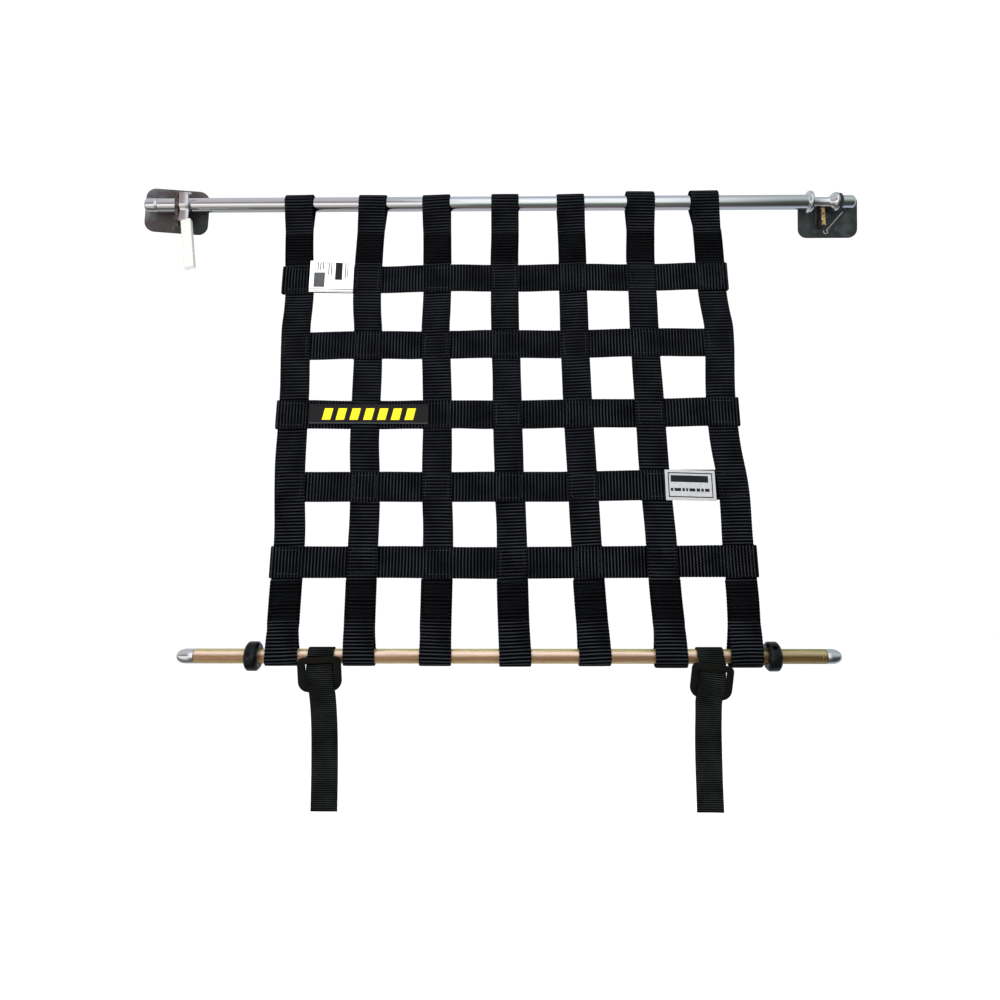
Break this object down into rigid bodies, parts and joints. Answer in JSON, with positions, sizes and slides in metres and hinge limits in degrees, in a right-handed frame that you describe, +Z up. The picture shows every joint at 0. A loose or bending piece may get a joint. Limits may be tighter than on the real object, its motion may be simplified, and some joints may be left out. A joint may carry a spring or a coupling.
{
  "type": "window net with upper and lower rod",
  "caption": "Plain-woven strap net looped over a steel rod above and below, with weld-on end brackets, a latch lever, shaft collars and buckled tie-down straps.",
  "frame": {"origin": "centre of the back face of the left bracket's plate, where it is welded to what holds it", "axes": "+X along the rods towards the right end as seen from the front, +Y from the front to the back, +Z up"},
  "size_m": [0.6901, 0.0387, 0.547],
  "materials": {
    "webbing": "ribbed woven polyester tape, matt",
    "label_white": "printed satin tape, matt",
    "label_black": "woven label, matt",
    "label_grey": "printed silver tape, satin",
    "bright_zinc": "bright zinc plated, polished",
    "yellow_zinc": "yellow passivated zinc, iridescent",
    "dark_steel": "bare hot-rolled steel, heat tinted at the welds",
    "black_oxide": "black oxide, oiled",
    "black_plastic": "moulded, satin",
    "rubber": "matt"
  },
  "bodies": {
    "root": {"strap_v1": "webbing", "strap_v2": "webbing", "strap_v3": "webbing", "strap_v4": "webbing", "strap_v5": "webbing", "strap_v6": "webbing", "strap_v7": "webbing", "strap_h1": "webbing", "strap_h2": "webbing", "strap_h3": "webbing", "strap_h4": "webbing", "strap_h5": "webbing", "tie_strap_left": "webbing", "tie_strap_right": "webbing", "label_white": "label_white", "label_black": "label_black", "label_grey": "label_grey", "rod_upper": "bright_zinc", "rod_upper_cap": "bright_zinc", "retaining_ring": "rubber", "rod_lower": "yellow_zinc", "rod_tip_left": "bright_zinc", "rod_tip_right": "bright_zinc", "collar_left": "black_oxide", "collar_right": "black_oxide", "bracket_left": "dark_steel", "bracket_right": "dark_steel", "latch_lever": "bright_zinc", "safety_wire": "bright_zinc", "buckle_left": "black_plastic", "buckle_right": "black_plastic"}
  },
  "joints": []
}
